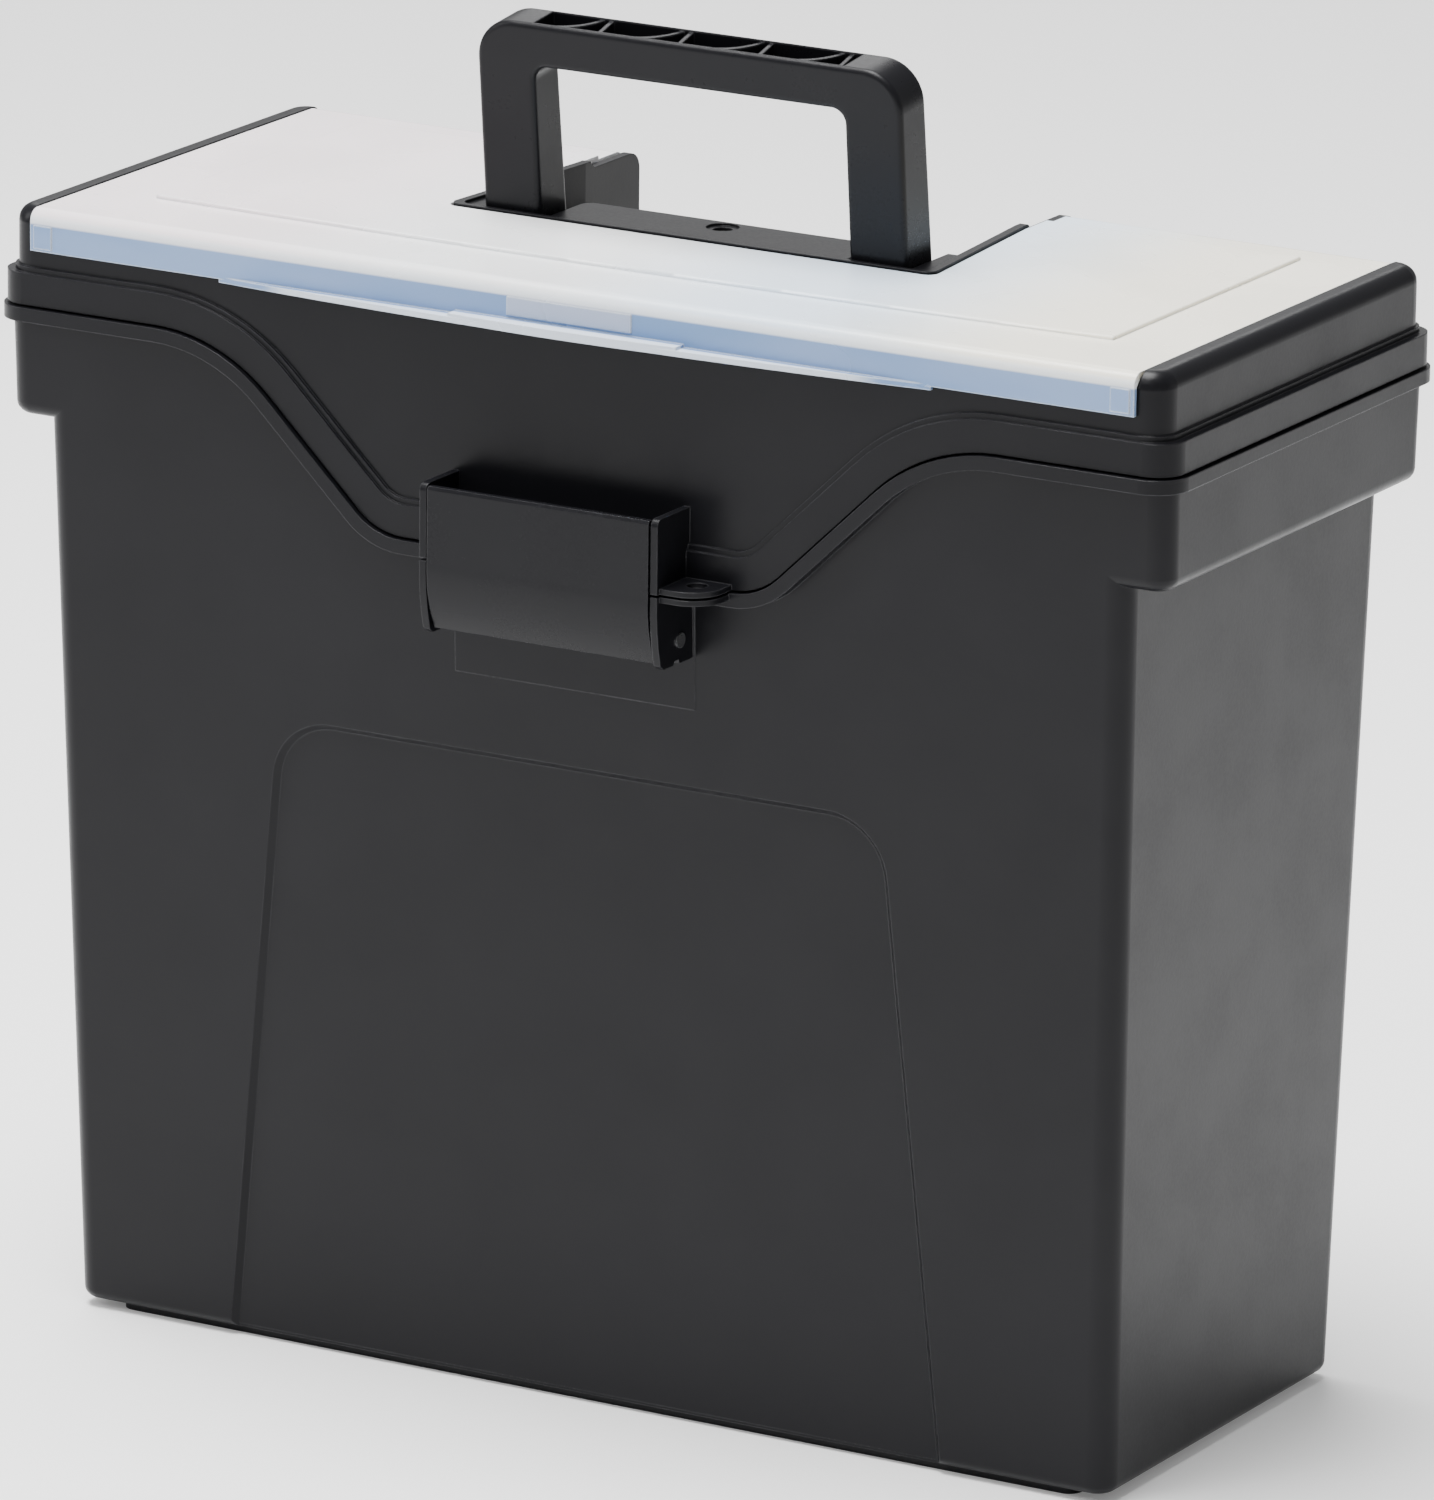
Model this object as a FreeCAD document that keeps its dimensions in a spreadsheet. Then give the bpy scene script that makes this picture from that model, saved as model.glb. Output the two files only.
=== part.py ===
import FreeCAD, Part
import math
import os
import re
import Sketcher

os.makedirs("parts", exist_ok=True)
doc = FreeCAD.newDocument("document_box")

# ---------------------------------------------------------------- driving dimensions (mm, degrees)
# Origin: centre of the foot's underside. X runs along the front, Y to the back, Z up.
sizes = [
    ("foot_height", "2.2"),
    ("foot_width", "292"),
    ("foot_depth", "118"),
    ("wall", "2.5"),
    ("base_width", "314.6"),
    ("base_depth", "126"),
    ("mouth_width", "324.6"),
    ("mouth_depth", "142.9"),
    ("rim_height", "277.2"),
    ("shoulder_height", "246.8"),
    ("shoulder_low_width", "346.4"),
    ("shoulder_width", "347.2"),
    ("corner_radius", "6"),
    ("bottom_radius", "3"),
    ("shoulder_radius", "3.5"),
    ("rim_width", "352"),
    ("rim_depth", "150"),
    ("rim_corner", "9.5"),
    ("rim_thickness", "3.8"),
    ("lip_root", "6.5"),
    ("dip_floor", "230.7"),
    ("dip_half_floor", "49.3"),
    ("dip_slope", "44"),
    ("dip_low_radius", "20"),
    ("dip_high_radius", "50"),
    ("rail_height", "4"),
    ("recess_depth", "1.8"),
    ("recess_top", "173.3"),
    ("recess_top_half", "91"),
    ("recess_low_half", "108.5"),
    ("recess_corner", "18"),
    ("pad_low", "196.3"),
    ("pad_proud", "0.25"),
    ("lid_gap", "0.6"),
    ("lid_width", "344"),
    ("lid_depth", "144"),
    ("lid_corner", "7"),
    ("lid_top", "304"),
    ("lid_edge", "4.5"),
    ("band_width", "350"),
    ("band_depth", "147.5"),
    ("band_corner", "8"),
    ("band_height", "8.6"),
    ("step_height", "1.5"),
    ("step_proud", "0.9"),
    ("tray_floor", "280.7"),
    ("seat_height", "301.9"),
    ("seat_half_width", "164.8"),
    ("divider", "2"),
    ("well_front", "-11.5"),
    ("well_front_half", "70"),
    ("well_rear_half", "65.2"),
    ("well_taper_end", "45"),
    ("well_floor", "283"),
    ("well_wall", "2.5"),
    ("well_front_wall", "1.5"),
    ("well_wall_top", "305.4"),
    ("well_wall_low", "303.4"),
    ("well_step", "47.5"),
    ("cover_half_width", "164.3"),
    ("cover_front", "73.6"),
    ("cover_top", "303.8"),
    ("cover_thickness", "1.6"),
    ("flap_thickness", "1.3"),
    ("flap_low", "292.7"),
    ("cover_bend", "3.5"),
    ("inset_half_width", "143"),
    ("inset_front", "45.5"),
    ("inset_bow", "2.5"),
    ("inset_rear", "57"),
    ("inset_height", "1"),
    ("lip_half_width", "106"),
    ("lip_proud", "5.2"),
    ("cover_axis_y", "66.5"),
    ("cover_axis_z", "300.3"),
    ("cover_barrel", "3.5"),
    ("thin_pin", "1.5"),
    ("cover_pin_inner", "66.2"),
    ("cover_pin_outer", "170"),
    ("running_gap", "0.06"),
    ("handle_axis_y", "-2"),
    ("handle_axis_z", "295"),
    ("handle_lean", "6.5"),
    ("handle_half_width", "63.5"),
    ("handle_leg", "17"),
    ("handle_height", "63"),
    ("handle_bar", "11.7"),
    ("handle_base_depth", "14.6"),
    ("handle_top_depth", "13"),
    ("handle_corner", "11"),
    ("handle_inner_corner", "4"),
    ("rib_pitch", "24"),
    ("rib_thickness", "1.2"),
    ("handle_pin", "2.5"),
    ("bridge_half_width", "45"),
    ("bridge_rear", "11"),
    ("bridge_top", "304.5"),
    ("latch_half_width", "33"),
    ("latch_top", "250.5"),
    ("latch_front", "88.8"),
    ("latch_thickness", "2.2"),
    ("latch_axis_y", "-76.4"),
    ("latch_axis_z", "216.7"),
    ("latch_pin", "2"),
    ("ear_inner", "33.5"),
    ("ear_thickness", "2"),
    ("ear_front", "88.4"),
    ("tab_half_width", "49"),
    ("tab_thickness", "1.5"),
    ("bin_tab_top", "=dip_floor - 0.2"),
    ("lid_tab_low", "=dip_floor + 0.5"),
    ("tab_hole_x", "42"),
    ("tab_hole_y", "-79"),
    ("tab_hole", "2.75"),
    ("hinge_axis_y", "79.5"),
    ("hinge_axis_z", "277.7"),
    ("hinge_barrel", "4"),
    ("hinge_inner", "100"),
    ("hinge_outer", "140"),
    ("hinge_knuckle", "12"),
    ("hinge_play", "0.4"),
    # worked out from the cells above
    ("draft", "=atan((mouth_depth - base_depth) / 2 / (rim_height - foot_height))"),
    ("shoulder_low_depth", "=base_depth + (mouth_depth - base_depth)"
                           " * (shoulder_height - foot_height) / (rim_height - foot_height)"),
    ("recess_lean", "=atan((recess_low_half - recess_top_half) / recess_top)"),
    ("lid_low", "=rim_height + lid_gap"),
    ("tray_well_half", "=well_front_half + well_wall + 0.5"),
    ("groove_inner", "=well_rear_half + well_wall + 0.1"),
    ("room_outer", "=seat_half_width - 1.5"),
    ("room_front", "=lid_depth / 2 - wall - 1"),
    ("groove_gap", "4.2"),
]

sheet = doc.addObject("Spreadsheet::Sheet", "Sizes")
for row, (alias, content) in enumerate(sizes, start=1):
    sheet.set("A%d" % row, alias)
    sheet.set("B%d" % row, content)
    sheet.setAlias("B%d" % row, alias)
doc.recompute()
scratch = doc.addObject("Spreadsheet::Sheet", "Scratch")
aliases = set(alias for alias, _ in sizes)


def cell(text):
    """Expression text in which every alias points at the sheet."""
    def place(word):
        return "Sizes." + word[0] if word[0] in aliases else word[0]
    return re.sub(r"[A-Za-z_]\w*", place, text)


def number(text):
    """Value of an expression, in millimetres or degrees."""
    scratch.set("A1", "=" + cell(text))
    scratch.recompute()
    value = scratch.get("A1")
    return float(getattr(value, "Value", value))


def bind(thing, prop, text):
    thing.setExpression(prop, cell(text))


# ---------------------------------------------------------------- sketching
def newBody(name):
    made = doc.addObject("PartDesign::Body", name)
    if hasattr(made, "AllowCompound"):
        made.AllowCompound = True
    return made


def sketchOn(body, role, offset="0"):
    """Sketch on one of the body's origin planes, lifted along the plane's normal."""
    sketch = body.newObject("Sketcher::SketchObject", body.Name + "_outline")
    plane = [feature for feature in body.Origin.OriginFeatures if feature.Role == role][0]
    sketch.AttachmentSupport = [(plane, "")]
    sketch.MapMode = "FlatFace"
    bind(sketch, "AttachmentOffset.Base.z", offset)
    return sketch


def pin(sketch, geometry, point, x, y):
    """Hold one sketch point at the two expressions."""
    for kind, axis, text in (("DistanceX", -2, x), ("DistanceY", -1, y)):
        value = number(text)
        if abs(value) < 1e-9:
            sketch.addConstraint(Sketcher.Constraint("PointOnObject", geometry, point, axis))
            continue
        index = sketch.addConstraint(Sketcher.Constraint(kind, -1, 1, geometry, point, value))
        sketch.setExpression("Constraints[%d]" % index, cell(text))


def outline(sketch, corners):
    """Closed outline. A corner is (x, y), or (x, y, radius, turn) where an arc starts there:
    turn is +1 for an arc that bends left and -1 for one that bends right."""
    places = [FreeCAD.Vector(number(c[0]), number(c[1]), 0) for c in corners]
    ends = []
    for index, corner in enumerate(corners):
        start = places[index]
        stop = places[(index + 1) % len(places)]
        if len(corner) == 2:
            geometry = sketch.addGeometry(Part.LineSegment(start, stop), False)
            ends.append((geometry, 1, 2))
            continue
        radius = number(corner[2])
        turn = corner[3]
        chord = stop - start
        rise = math.sqrt(max(radius ** 2 - chord.Length ** 2 / 4, 0))
        left = FreeCAD.Vector(-chord.y, chord.x, 0).normalize()
        middle = (start + stop) * 0.5 + left * (rise * turn)
        angles = [math.atan2(p.y - middle.y, p.x - middle.x) for p in (start, stop)]
        if turn < 0:
            angles.reverse()
        if angles[1] < angles[0]:
            angles[1] += 2 * math.pi
        circle = Part.Circle(middle, FreeCAD.Vector(0, 0, 1), radius)
        geometry = sketch.addGeometry(Part.ArcOfCircle(circle, angles[0], angles[1]), False)
        ends.append((geometry, 1, 2) if turn > 0 else (geometry, 2, 1))
        rule = sketch.addConstraint(Sketcher.Constraint("Radius", geometry, radius))
        sketch.setExpression("Constraints[%d]" % rule, cell(corner[2]))
    for index, (geometry, start, stop) in enumerate(ends):
        following = ends[(index + 1) % len(ends)]
        sketch.addConstraint(Sketcher.Constraint("Coincident", geometry, stop,
                                                 following[0], following[1]))
    for (geometry, start, stop), corner in zip(ends, corners):
        pin(sketch, geometry, start, corner[0], corner[1])


def rectangle(sketch, x0, x1, y0, y1):
    outline(sketch, [(x0, y0), (x1, y0), (x1, y1), (x0, y1)])


def circle(sketch, x, y, radius):
    centre = FreeCAD.Vector(number(x), number(y), 0)
    shape = Part.Circle(centre, FreeCAD.Vector(0, 0, 1), number(radius))
    geometry = sketch.addGeometry(shape, False)
    rule = sketch.addConstraint(Sketcher.Constraint("Radius", geometry, number(radius)))
    sketch.setExpression("Constraints[%d]" % rule, cell(radius))
    pin(sketch, geometry, 3, x, y)


def pad(body, sketch, length, both=False, reverse=False):
    feature = body.newObject("PartDesign::Pad", body.Name + "_pad")
    feature.Profile = sketch
    bind(feature, "Length", length)
    feature.Midplane = both
    feature.Reversed = reverse
    doc.recompute()
    return feature


def pocket(body, sketch, depth, reverse=False, both=False):
    """Cuts against the sketch's normal, or along it when reversed."""
    before = body.Tip.Shape.Volume
    feature = body.newObject("PartDesign::Pocket", body.Name + "_pocket")
    feature.Profile = sketch
    bind(feature, "Length", depth)
    feature.Midplane = both
    feature.Reversed = reverse
    doc.recompute()
    if feature.Shape.Volume > before - 1e-3:
        raise RuntimeError("%s cuts nothing" % feature.Name)
    return feature


def loft(body, low, high, subtractive=False):
    kind = "PartDesign::SubtractiveLoft" if subtractive else "PartDesign::AdditiveLoft"
    feature = body.newObject(kind, body.Name + "_loft")
    feature.Profile = low
    feature.Sections = [high]
    feature.Ruled = True
    doc.recompute()
    return feature


def fillet(body, radius, wanted):
    """Round every edge of the tip that the test function accepts."""
    tip = body.Tip
    names = ["Edge%d" % index for index, edge in enumerate(tip.Shape.Edges, start=1) if wanted(edge)]
    if not names:
        raise RuntimeError("no edge to round on " + body.Name)
    feature = body.newObject("PartDesign::Fillet", body.Name + "_fillet")
    feature.Base = (tip, names)
    bind(feature, "Radius", radius)
    doc.recompute()
    return feature


def upright(edge):
    """Straight and mostly along Z."""
    if len(edge.Vertexes) < 2:
        return False
    way = edge.Vertexes[1].Point - edge.Vertexes[0].Point
    return abs(way.z) > 0.9 * edge.Length and edge.Length > 1


def level(height, spread=0.01):
    """Test for edges that lie at one height."""
    def test(edge):
        box = edge.BoundBox
        return abs(box.ZMin - height) < spread and abs(box.ZMax - height) < spread
    return test


def fuse(name, *things):
    joined = doc.addObject("Part::MultiFuse", name)
    joined.Shapes = list(things)
    joined.Refine = True
    doc.recompute()
    return joined


def cut(name, base, *tools):
    tool = tools[0] if len(tools) == 1 else fuse(name + "_tools", *tools)
    left = doc.addObject("Part::Cut", name)
    left.Base = base
    left.Tool = tool
    left.Refine = True
    doc.recompute()
    if left.Shape.Volume > base.Shape.Volume - 1e-3:
        raise RuntimeError("%s cuts nothing" % name)
    return left


def common(name, *things):
    shared = doc.addObject("Part::MultiCommon", name)
    shared.Shapes = list(things)
    shared.Refine = True
    doc.recompute()
    return shared


def span(near, far, mirror):
    """X limits of a piece on the right, or of its twin on the left."""
    return ("-(%s)" % far, "-(%s)" % near) if mirror else (near, far)


def block(name, x0, x1, y0, y1, z0, z1):
    """Box between six expressions."""
    made = doc.addObject("Part::Box", name)
    bind(made, "Length", "(%s) - (%s)" % (x1, x0))
    bind(made, "Width", "(%s) - (%s)" % (y1, y0))
    bind(made, "Height", "(%s) - (%s)" % (z1, z0))
    for axis, low in (("x", x0), ("y", y0), ("z", z0)):
        bind(made, "Placement.Base." + axis, low)
    doc.recompute()
    return made


def rod(name, x0, x1, y, z, radius):
    """Cylinder along X."""
    made = doc.addObject("Part::Cylinder", name)
    made.Placement = FreeCAD.Placement(FreeCAD.Vector(), FreeCAD.Rotation(FreeCAD.Vector(0, 1, 0), 90))
    bind(made, "Radius", radius)
    bind(made, "Height", "(%s) - (%s)" % (x1, x0))
    for axis, low in (("x", x0), ("y", y), ("z", z)):
        bind(made, "Placement.Base." + axis, low)
    doc.recompute()
    return made


def post(name, x, y, z0, z1, radius):
    """Cylinder along Z."""
    made = doc.addObject("Part::Cylinder", name)
    bind(made, "Radius", radius)
    bind(made, "Height", "(%s) - (%s)" % (z1, z0))
    for axis, low in (("x", x), ("y", y), ("z", z0)):
        bind(made, "Placement.Base." + axis, low)
    doc.recompute()
    return made


def slab(name, z0, z1, width, depth, corner):
    """Upright prism over a centred rectangle with rounded corners."""
    body = newBody(name)
    sketch = sketchOn(body, "XY_Plane", z0)
    rectangle(sketch, "-(%s) / 2" % width, "(%s) / 2" % width, "-(%s) / 2" % depth, "(%s) / 2" % depth)
    pad(body, sketch, "(%s) - (%s)" % (z1, z0))
    fillet(body, corner, upright)
    return body


def taper(name, z0, z1, width0, depth0, width1, depth1, corner):
    """Drafted box between two heights with rounded upright edges."""
    body = newBody(name)
    wedge = body.newObject("PartDesign::AdditiveWedge", name + "_wedge")
    wedge.Placement = FreeCAD.Placement(FreeCAD.Vector(), FreeCAD.Rotation(FreeCAD.Vector(1, 0, 0), 90))
    limits = {
        "Ymin": z0, "Ymax": z1,
        "Xmin": "-(%s) / 2" % width0, "Xmax": "(%s) / 2" % width0,
        "Zmin": "-(%s) / 2" % depth0, "Zmax": "(%s) / 2" % depth0,
        "X2min": "-(%s) / 2" % width1, "X2max": "(%s) / 2" % width1,
        "Z2min": "-(%s) / 2" % depth1, "Z2max": "(%s) / 2" % depth1,
    }
    for limit, text in limits.items():
        setattr(wedge, limit, number(text))
        bind(wedge, limit, text)
    doc.recompute()
    fillet(body, corner, upright)
    return body


def extrusion(name, role, offset, corners, length, both=False, reverse=False):
    """One outline on an origin plane, padded."""
    body = newBody(name)
    sketch = sketchOn(body, role, offset)
    outline(sketch, corners)
    pad(body, sketch, length, both, reverse)
    return body


def frontCurve(grow):
    """The dipped front edge from left to right, grown upwards by an offset."""
    low = "(dip_low_radius - (%s))" % grow
    high = "(dip_high_radius + (%s))" % grow
    floor = "(dip_floor + (%s))" % grow
    top = "(rim_height + (%s))" % grow
    sine = "sin(dip_slope * 1deg)"
    drop = "(1 - cos(dip_slope * 1deg))"
    lowX = "(dip_half_floor + %s * %s)" % (low, sine)
    lowZ = "%s + %s * %s" % (floor, low, drop)
    highZ = "%s - %s * %s" % (top, high, drop)
    highX = "(%s + (%s - (%s)) / tan(dip_slope * 1deg))" % (lowX, highZ, lowZ)
    endX = "(%s + %s * %s)" % (highX, high, sine)
    left = [
        ("-" + endX, top, high, -1),
        ("-" + highX, highZ),
        ("-" + lowX, lowZ, low, 1),
        ("-dip_half_floor", floor),
    ]
    right = [
        ("dip_half_floor", floor, low, 1),
        (lowX, lowZ),
        (highX, highZ, high, -1),
        (endX, top),
    ]
    return left + right


def frontCurveBack(grow):
    """The same edge from right to left."""
    forward = frontCurve(grow)
    places = [(c[0], c[1]) for c in forward]
    arcs = [c[2:] for c in forward]
    back = []
    for index in range(len(places) - 1, -1, -1):
        arc = arcs[index - 1] if index > 0 else ()
        if arc:
            back.append(places[index] + (arc[0], -arc[1]))
        else:
            back.append(places[index])
    return back


def aboveFront(name, grow, top, half):
    """Everything in front of mid depth and above the grown front edge."""
    corners = [("-(%s)" % half, "rim_height + (%s)" % grow)] + frontCurve(grow)
    corners += [(half, "rim_height + (%s)" % grow), (half, top), ("-(%s)" % half, top)]
    return extrusion(name, "XZ_Plane", "0", corners, "100")


def belowFront(name, grow, bottom, half):
    """Everything in front of mid depth and below the grown front edge."""
    corners = [("-(%s)" % half, bottom), (half, bottom), (half, "rim_height + (%s)" % grow)]
    corners += frontCurveBack(grow) + [("-(%s)" % half, "rim_height + (%s)" % grow)]
    return extrusion(name, "XZ_Plane", "0", corners, "100")


def edgeBand(name, low, high, width, depth, corner, inner):
    """Ring that follows the front edge between two offsets and runs level round the back."""
    outer = slab(name + "_outer", "200", "300", width, depth, corner)
    hole = slab(name + "_hole", "199", "301", "%s - 2 * (%s)" % (width, inner),
                "%s - 2 * (%s)" % (depth, inner), "(%s) - (%s)" % (corner, inner))
    over = aboveFront(name + "_over", high, "302", "190")
    under = belowFront(name + "_under", low, "198", "190")
    rearOver = block(name + "_rear_over", "-190", "190", "0", "100", "rim_height + (%s)" % high, "302")
    rearUnder = block(name + "_rear_under", "-190", "190", "0", "100", "198", "rim_height + (%s)" % low)
    return cut(name, outer, hole, over, under, rearOver, rearUnder)


# ---------------------------------------------------------------- bin
def faceFrame(sketch, depth):
    """Lay a sketch on the drafted front face, depth millimetres outside it."""
    sketch.AttachmentOffset = FreeCAD.Placement(FreeCAD.Vector(),
                                                FreeCAD.Rotation(FreeCAD.Vector(1, 0, 0), number("draft")))
    bind(sketch, "AttachmentOffset.Rotation.Angle", "draft")
    bind(sketch, "AttachmentOffset.Base.y", "foot_height - (%s) * sin(draft)" % depth)
    bind(sketch, "AttachmentOffset.Base.z", "base_depth / 2 + (%s) * cos(draft)" % depth)


def recessSection(body, depth, grow, low):
    """Trapezoid with two rounded top corners, parallel to the front face."""
    sketch = sketchOn(body, "XZ_Plane")
    faceFrame(sketch, depth)
    side = "(%s) / cos(recess_lean)" % grow
    radius = "(recess_corner + (%s))" % grow
    reach = "%s * tan((90deg - recess_lean) / 2)" % radius
    top = "(recess_top + (%s))" % grow
    topX = "(recess_top_half + %s - (%s) * tan(recess_lean))" % (side, grow)
    lowX = "(%s + (%s - (%s)) * tan(recess_lean))" % (topX, top, low)
    archX = "(%s + %s * sin(recess_lean))" % (topX, reach)
    archZ = "(%s - %s * cos(recess_lean))" % (top, reach)
    flatX = "(%s - %s)" % (topX, reach)
    outline(sketch, [
        ("-" + lowX, low),
        (lowX, low),
        (archX, archZ, radius, 1),
        (flatX, top),
        ("-" + flatX, top, radius, 1),
        ("-" + archX, archZ),
    ])
    return sketch


def recessBlock(name, outside, inside, growOut, growIn, low):
    body = newBody(name)
    loft(body, recessSection(body, outside, growOut, low), recessSection(body, inside, growIn, low))
    return body


def makeBin():
    tub = taper("tub", "foot_height", "rim_height", "base_width", "base_depth",
                "mouth_width", "mouth_depth", "corner_radius")
    fillet(tub, "bottom_radius", level(number("foot_height")))
    shoulder = taper("shoulder", "shoulder_height", "rim_height", "shoulder_low_width",
                     "shoulder_low_depth", "shoulder_width", "mouth_depth", "corner_radius")
    fillet(shoulder, "shoulder_radius", level(number("shoulder_height")))
    lip = edgeBand("rim_lip", "-rim_thickness", "0", "rim_width", "rim_depth", "rim_corner", "lip_root")
    foot = slab("foot", "0", "foot_height + 1", "foot_width", "foot_depth", "4")
    room = taper("file_room", "foot_height + wall", "rim_height + 0.5", "base_width - 2 * wall",
                 "base_depth - 2 * wall", "mouth_width - 2 * wall", "mouth_depth - 2 * wall",
                 "corner_radius - wall")
    fillet(room, "bottom_radius - 1", level(number("foot_height + wall")))
    shoulderRoom = taper("shoulder_room", "shoulder_height + wall", "rim_height + 0.5",
                         "shoulder_low_width - 2 * wall", "shoulder_low_depth - 2 * wall",
                         "shoulder_width - 2 * wall", "mouth_depth - 2 * wall", "corner_radius - wall")
    footRoom = slab("foot_room", "wall", "foot_height + wall + 1", "foot_width - 2 * wall",
                    "foot_depth - 2 * wall", "2")
    over = aboveFront("mouth_dip", "0", "300", "190")
    recess = recessBlock("front_recess", "0.6", "-recess_depth", "0.6", "-recess_depth", "-6")
    shell = cut("bin_walls", fuse("bin_outside", tub, shoulder, lip, foot),
                room, shoulderRoom, footRoom, over, recess)

    railZ = "shoulder_height + wall"
    rails = []
    for side, sign in (("left", "-1"), ("right", "1")):
        inner = "(mouth_width / 2 - wall - 0.6)"
        low = "min(%s * %s; %s * (%s + wall))" % (sign, inner, sign, inner)
        high = "max(%s * %s; %s * (%s + wall))" % (sign, inner, sign, inner)
        rails.append(block("file_rail_" + side, low, high, "-(shoulder_low_depth / 2 - 1)",
                           "shoulder_low_depth / 2 - 1", railZ + " - 1", railZ + " + rail_height"))
    backing = recessBlock("recess_backing", "-recess_depth + 0.1", "-recess_depth - wall",
                          "1.04", "1.04 - wall", "1")
    slope = "tan(draft)"
    faceLow = "-(base_depth / 2 + (pad_low - foot_height) * %s)" % slope
    faceHigh = "-(base_depth / 2 + (dip_floor - 2 - foot_height) * %s)" % slope
    mouldPad = extrusion("mould_pad", "YZ_Plane", "0", [
        (faceLow + " + 1", "pad_low"),
        (faceHigh + " + 1", "dip_floor - 2"),
        (faceHigh + " - pad_proud", "dip_floor - 2"),
        (faceLow + " - pad_proud", "pad_low"),
    ], "2 * 36", both=True)
    hinges = makeKnuckles("bin", (("hinge_inner", "hinge_inner + hinge_knuckle"),
                                  ("hinge_outer - hinge_knuckle", "hinge_outer")),
                          "rim_height - rim_thickness + 0.4", "rim_height", "thin_pin")
    shell = fuse("bin_moulding", shell, *rails, backing, mouldPad, *makeBinEars(), *hinges)
    return cut("bin_shell", shell, rod("bin_ear_bore", "-60", "60", "latch_axis_y", "latch_axis_z",
                                       "latch_pin"))


def makeKnuckles(owner, spans, webLow, webHigh, bore):
    """Rear hinge barrels and the webs that join them to their rim, on both sides."""
    made = []
    for side, sign in (("left", -1), ("right", 1)):
        for index, (near, far) in enumerate(spans):
            x0, x1 = (near, far) if sign > 0 else ("-(%s)" % far, "-(%s)" % near)
            name = "%s_knuckle_%s_%d" % (owner, side, index)
            barrel = rod(name + "_barrel", x0, x1, "hinge_axis_y", "hinge_axis_z", "hinge_barrel")
            web = block(name + "_web", x0, x1, "mouth_depth / 2", "hinge_axis_y", webLow, webHigh)
            hole = rod(name + "_hole", "(%s) - 1" % x0, "(%s) + 1" % x1,
                       "hinge_axis_y", "hinge_axis_z", bore)
            made.append(cut(name, fuse(name + "_blank", barrel, web), hole))
    return made


def ear(name, x0, x1, corners):
    """Flat cheek between two X planes, cut to a side profile."""
    return extrusion(name, "YZ_Plane", x0, corners, "(%s) - (%s)" % (x1, x0))


def padlockTab(name, z0, z1, y1):
    body = newBody(name)
    sketch = sketchOn(body, "XY_Plane", z0)
    outline(sketch, [
        ("ear_inner", y1),
        ("ear_inner", "-87.2"),
        ("tab_half_width - 9", "-87.2", "9", 1),
        ("tab_half_width", "-78.2"),
        ("tab_half_width", y1),
    ])
    circle(sketch, "tab_hole_x", "tab_hole_y", "tab_hole")
    pad(body, sketch, "(%s) - (%s)" % (z1, z0))
    return body


def makeBinEars():
    profile = [
        ("-69", "210.5"),
        ("-76.4", "210.5"),
        ("-77", "211.6"),
        ("-79", "211.6"),
        ("-79.6", "210.6"),
        ("-84.6", "210.6"),
        ("-86.2", "211.8", "60", -1),
        ("-ear_front", "bin_tab_top"),
        ("-69", "bin_tab_top"),
    ]
    outer = "ear_inner + ear_thickness"
    return [
        ear("bin_ear_right", "ear_inner", outer, profile),
        ear("bin_ear_left", "-(%s)" % outer, "-ear_inner", profile),
        padlockTab("bin_padlock_tab", "bin_tab_top - tab_thickness", "bin_tab_top", "-70"),
    ]


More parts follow.
